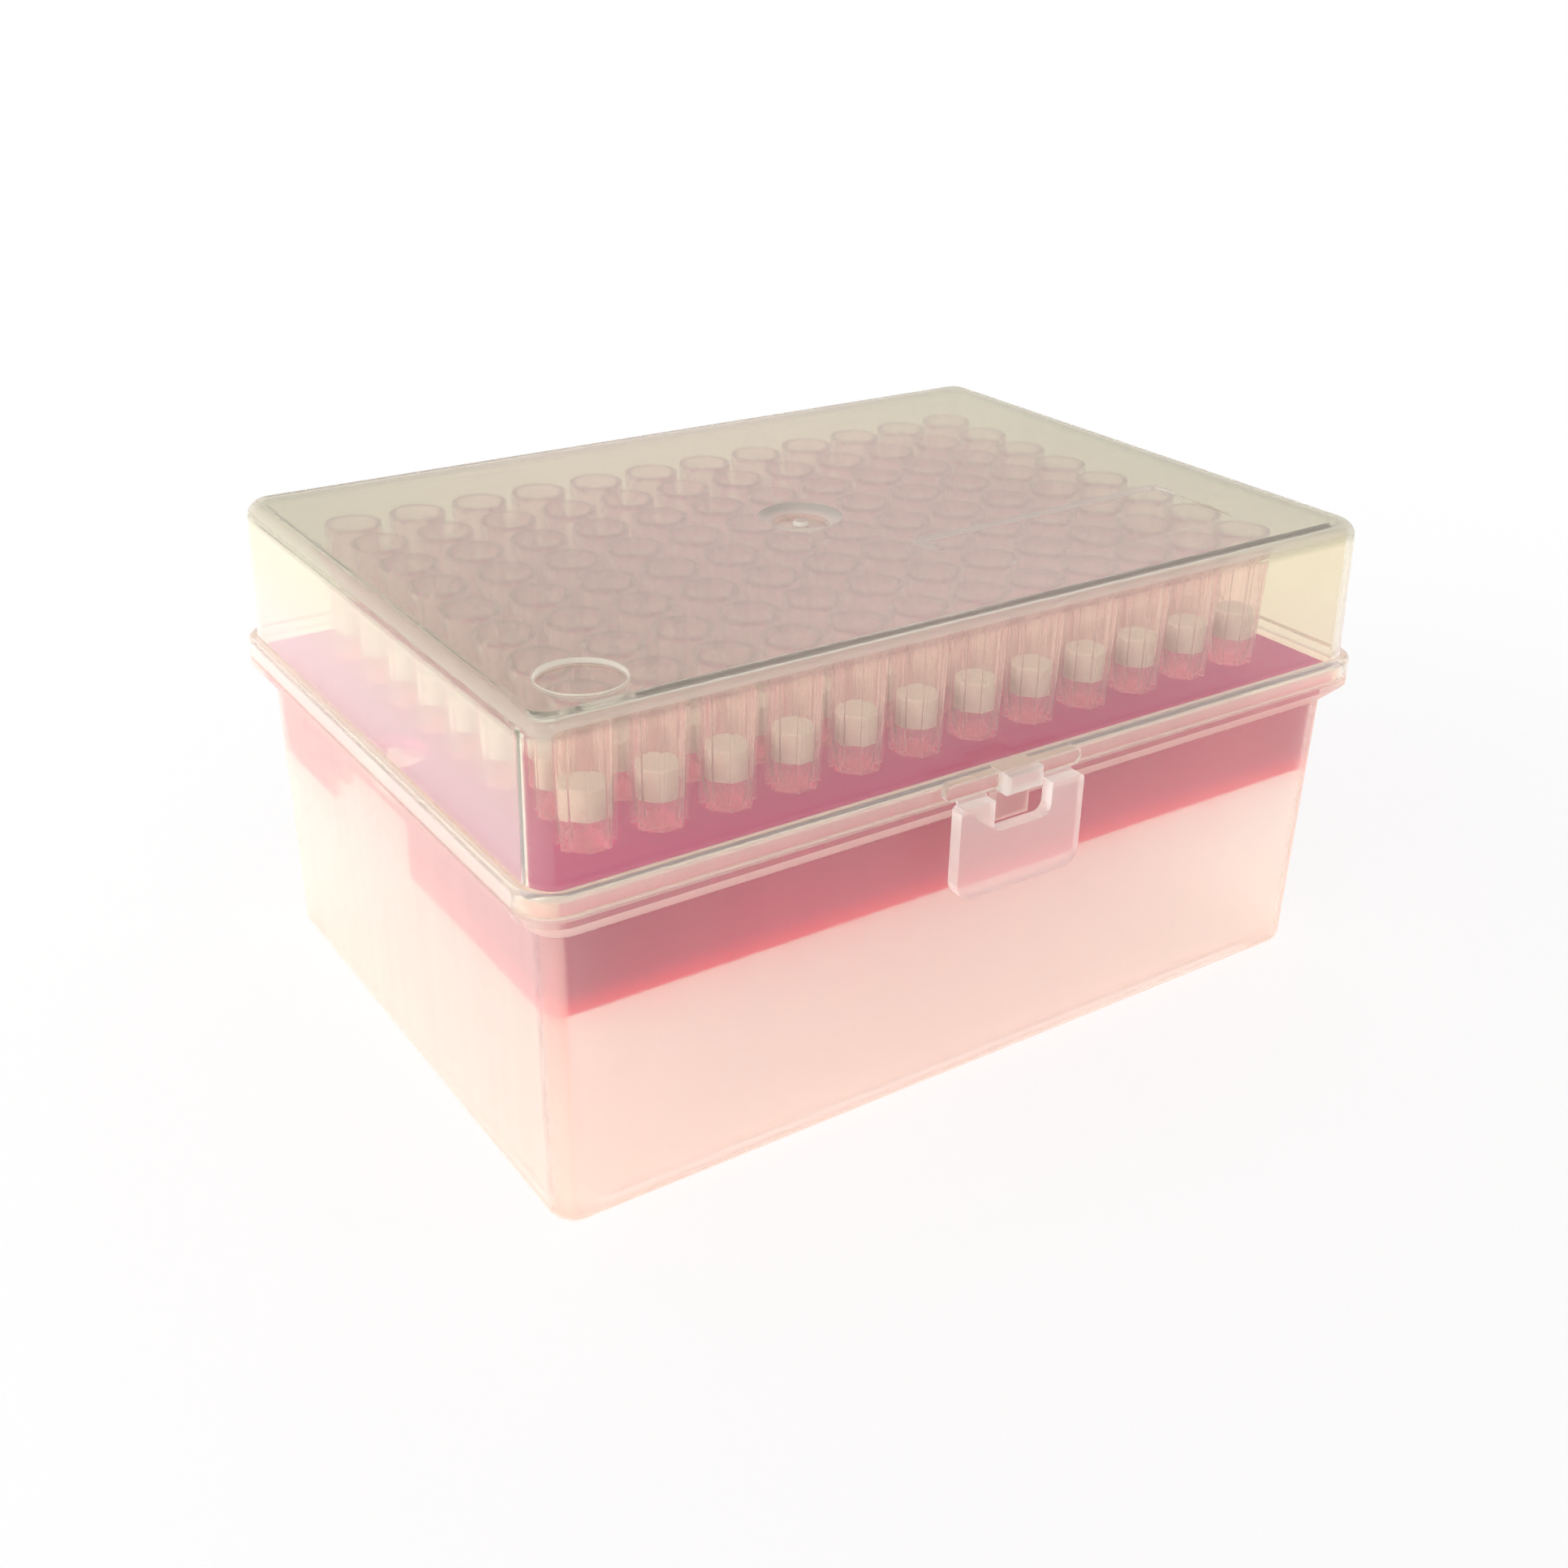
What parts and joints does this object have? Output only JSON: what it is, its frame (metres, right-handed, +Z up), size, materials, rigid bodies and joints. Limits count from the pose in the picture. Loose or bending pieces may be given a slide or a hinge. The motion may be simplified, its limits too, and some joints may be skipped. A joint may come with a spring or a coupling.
{
  "type": "box of pipette tips",
  "caption": "Hinged translucent plastic box with a front latch, holding filter pipette tips in rows in a pink rack.",
  "frame": {"origin": "middle of the closed box on the surface it stands on", "axes": "+X along the long side, to the right seen from the latch; -Y towards the latch at the front; +Z up"},
  "size_m": [0.125, 0.0965, 0.0641],
  "materials": {
    "clear_base": "natural translucent polypropylene, fine moulded surface",
    "clear_lid": "clear polypropylene, polished moulded surface",
    "clear_latch": "natural translucent polypropylene",
    "pink_rack": "coloured polypropylene, smooth satin",
    "clear_tip": "clear polypropylene, polished",
    "filter": "sintered porous polyethylene"
  },
  "bodies": {
    "box_base": {"base_box": "clear_base", "tip_rack": "pink_rack", "tips_row_a": "clear_tip", "tips_row_b": "clear_tip", "tips_row_c": "clear_tip", "tips_row_d": "clear_tip", "tips_row_e": "clear_tip", "tips_row_f": "clear_tip", "tips_row_g": "clear_tip", "tips_row_h": "clear_tip", "filters_row_a": "filter", "filters_row_b": "filter", "filters_row_c": "filter", "filters_row_d": "filter", "filters_row_e": "filter", "filters_row_f": "filter", "filters_row_g": "filter", "filters_row_h": "filter"},
    "lid": {"lid": "clear_lid"},
    "latch": {"latch_flap": "clear_latch"}
  },
  "joints": [
    {"name": "lid_hinge", "type": "hinge", "parent": "box_base", "child": "lid", "pos_m": [0, 0.0469, 0.0425], "axis": [-1, 0, 0], "range_deg": [0, 110]},
    {"name": "latch_hinge", "type": "hinge", "parent": "lid", "child": "latch", "pos_m": [0, -0.04539, 0.04275], "axis": [-1, 0, 0], "range_deg": [0, 85]}
  ]
}
